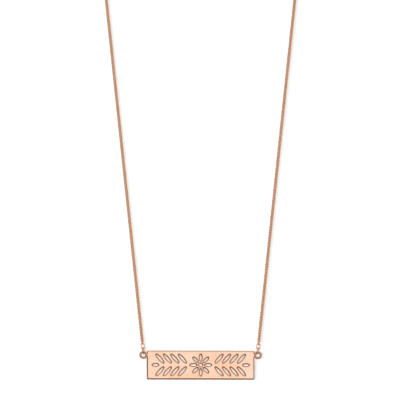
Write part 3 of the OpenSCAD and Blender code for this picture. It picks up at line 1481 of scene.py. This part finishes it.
@dataclass(frozen=True)
class Room:
    """The room's light as metal mirrors it: bright before and behind, dim at the left and below.

    The bright part before the bar lies a little up and to the right, so that round wires are darker on their
    outer sides, and a dimmer part round it is what the bar mirrors from aslant. The bright part behind is
    wider, so that the bar's back is bright from aslant too.

    Attributes:
        dark: Strength of the darkest part.
        above: What is added to it above.
        right: What is added to it at the right.
        beside: Strength of the dimmer part round the bright ones.
        bright: Strength of the bright parts.
        middle: The middle of the bright part before the bar: how far right, ahead and up it lies.
        behind: Share of the bright strength in the wider part behind.
        low_tint: Colour of the light from below.
        high_tint: Colour of the light from above.
        rise_range: Heights between which the light grows.
        turn_range: Places from left to right between which it grows.
        beside_range: Closeness to straight on, before or behind, over which the dimmer part sets in.
        bright_range: Closeness to that middle over which the bright part sets in.
        behind_range: Closeness to straight behind over which the one behind sets in.
    """

    dark: float = 0.1
    above: float = 0.42
    right: float = 0.14
    beside: float = 0.6
    bright: float = 1.07
    middle: Triple = (0.174, 0.952, 0.25)
    behind: float = 0.85
    low_tint: Colour = (1.0, 0.84, 0.68)
    high_tint: Colour = (0.96, 0.98, 1.0)
    rise_range: Point = (-0.5, 0.9)
    turn_range: Point = (-0.9, 0.9)
    beside_range: Point = (0.45, 0.75)
    bright_range: Point = (0.69, 0.95)
    behind_range: Point = (0.4, 0.7)

    def build(self) -> None:
        """Makes the world, which the camera itself sees in plain white."""
        world = bpy.data.worlds.new("soft_room")
        bpy.context.scene.world = world
        board = board_of(world)
        parts = board.add("SeparateXYZ", board.add("TexCoord").outputs["Generated"]).outputs
        depth = board.maths("ABSOLUTE", parts["Y"])
        rise = board.spread(parts["Z"], *self.rise_range)
        turn = board.spread(parts["X"], *self.turn_range)
        side = board.total((rise, self.above), (turn, self.right), (1.0, self.dark))
        side = board.maths("MAXIMUM", side, board.spread(depth, *self.beside_range, to_high=self.beside))
        ahead = board.total(*zip((parts["X"], depth, parts["Z"]), self.middle))
        behind = board.spread(parts["Y"], *self.behind_range, to_high=self.behind)
        facing = board.maths("MAXIMUM", board.spread(ahead, *self.bright_range), behind)
        tint = board.blend(facing, board.blend(rise, self.low_tint, self.high_tint), WHITE)
        strength = board.maths("MULTIPLY_ADD", facing, board.maths("SUBTRACT", self.bright, side), side)
        light = board.add("Background", tint, strength)
        seen = board.add("LightPath").outputs["Is Camera Ray"]
        board.add("OutputWorld", board.add("MixShader", seen, light, board.add("Background", WHITE)))


@dataclass(frozen=True)
class Studio:
    """A pale wall and floor, soft light and the camera.

    Attributes:
        wall_y: Where the wall stands, close behind the necklace.
        wall_glow: What it gives off, which stays in the deepest shadow; warmer than white, so that shadows
            take a warm colour: painted light thrown back from the gold.
        wall_shade: The share of the light on it that it gives back, which shadows take away; cooler, so that
            glow and shade add up to white.
        floor_z: Height of the floor.
        floor_glow: What the floor gives off.
        floor_shade: The share of the light on the floor that it gives back.
        reach: Half the width of wall and floor.
        distance: Distance from the camera to what it looks at.
        azimuth: The camera's angle to the right of straight on, in degrees.
        elevation: Its angle above straight on, in degrees.
        target: What it looks at.
        field: Width of the picture where it looks.
        sensor: Width of the camera's sensor in its own millimetres.
        lamp_from: Where the lamp stands, counted from the height of what the camera looks at.
        lamp_width: The lamp's width.
        lamp_height: Its height, low so that the bar hides its own shadow.
        lamp_power: Its power in watts.
        room: The light of the room.
    """

    wall_y: float = 3 * MM
    # The wall's warm glow and cool shade add up to white, so its shadows turn warm: painted light thrown
    # back from the gold.
    wall_glow: Colour = (0.46, 0.395, 0.35)
    wall_shade: Colour = (0.31, 0.343, 0.364)
    floor_z: float = -0.45
    floor_glow: Colour = (0.8, 0.8, 0.8)
    floor_shade: Colour = (0.25, 0.25, 0.25)
    reach: float = 4.0
    distance: float = 0.9
    azimuth: float = -3
    elevation: float = -6
    target: Point = (-0.18 * MM, -144.765 * MM)
    field: float = 119.3 * MM
    sensor: float = 36
    lamp_from: Triple = (-0.18, -0.8, -0.07)
    lamp_width: float = 0.4
    lamp_height: float = 0.06
    lamp_power: float = 9.0
    room: Room = Room()

    def paper(self, name: str, glow: Colour, shade: Colour) -> bpy.types.Material:
        """Pale paper that glows a little, seen from its front only.

        Args:
            name: The material's name.
            glow: What it gives off.
            shade: The share of the light on it that it gives back.

        Returns:
            The material.
        """
        material = bpy.data.materials.new(name)
        board = board_of(material)
        dimmer = tuple(0.97 * part for part in shade)
        fibre = board.blend(board.noise(board.place(), 900.0, detail=2.0), shade, dimmer)
        front = board.add("AddShader", board.add("BsdfDiffuse", fibre), board.add("Emission", glow))
        behind = board.add("NewGeometry").outputs["Backfacing"]
        board.add("OutputMaterial", board.add("MixShader", behind, front, board.add("BsdfTransparent")))
        return material

    def build_planes(self) -> None:
        """Makes the wall behind the necklace and the floor under it, which aren't part of the object."""
        far = self.reach
        corners = ((-far, -far), (far, -far), (far, far), (-far, far))
        wall = [Vector((x, self.wall_y, z)) for x, z in corners]
        floor = [Vector((x, y, self.floor_z)) for x, y in corners]
        for name, points, glow, shade in (("wall", wall, self.wall_glow, self.wall_shade),
                                          ("floor", floor, self.floor_glow, self.floor_shade)):
            piece = make_object(name, Shell(points, [(0, 1, 2, 3)], {0}))
            piece.data.materials.append(self.paper(f"{name}_paper", glow, shade))
            piece.visible_glossy = False
            piece.visible_shadow = False

    def build_lamp(self) -> None:
        """Makes the soft lamp, in front and to the left, that draws faint shadows on the wall."""
        data = bpy.data.lights.new("soft_lamp", "AREA")
        data.shape = "ELLIPSE"
        data.size = self.lamp_width
        data.size_y = self.lamp_height
        data.energy = self.lamp_power
        lamp = bpy.data.objects.new("soft_lamp", data)
        lamp.visible_glossy = False
        start = Vector(self.lamp_from)
        stand(lamp, Vector((0, 0, self.target[1])) + start, -start)

    def build_camera(self) -> None:
        """Makes the camera at the photograph's angle."""
        data = bpy.data.cameras.new("camera")
        data.sensor_width = self.sensor
        data.lens = self.sensor * self.distance / self.field
        data.clip_start = 0.01
        data.clip_end = 50
        camera = bpy.data.objects.new("camera", data)
        aside = math.radians(self.azimuth)
        above = math.radians(self.elevation)
        level = Vector((math.sin(aside), -math.cos(aside), 0)) * math.cos(above)
        back = level + Vector((0, 0, math.sin(above)))
        stand(camera, Vector((self.target[0], 0, self.target[1])) + back * self.distance, -back)
        bpy.context.scene.camera = camera

    def build(self) -> None:
        """Makes the whole studio."""
        self.build_camera()
        self.build_planes()
        self.room.build()
        self.build_lamp()
        bpy.context.scene.view_settings.view_transform = "Standard"


def main() -> None:
    """Builds the studio and then the necklace, from the bar up to the clasp."""
    logging.basicConfig(level=logging.INFO, format="%(name)s: %(message)s")
    Studio().build()
    plate = Nameplate()
    plate.dress(plate.build())
    chain_d = ChainHalf.link.width
    bend_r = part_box("chain_right")[1].x - chain_d / 2
    line = LoopLine(plate.ring_x - HANG_ASIDE, -plate.ring_z, bend_r, bend_r - chain_d / 2)
    holders = {Side.LEFT: "clasp_ring", Side.RIGHT: "end_ring"}
    for side in Side:
        links = HangingLinks(side, line, plate.ring_od, plate.ring_wire, HANG_ASIDE)
        links.dress(links.build())
        half = ChainHalf(side, line, links.top, holders[side])
        half.dress(half.build())
    clasp = Clasp()
    clasp.dress(clasp.build())


if __name__ == "__main__":
    main()
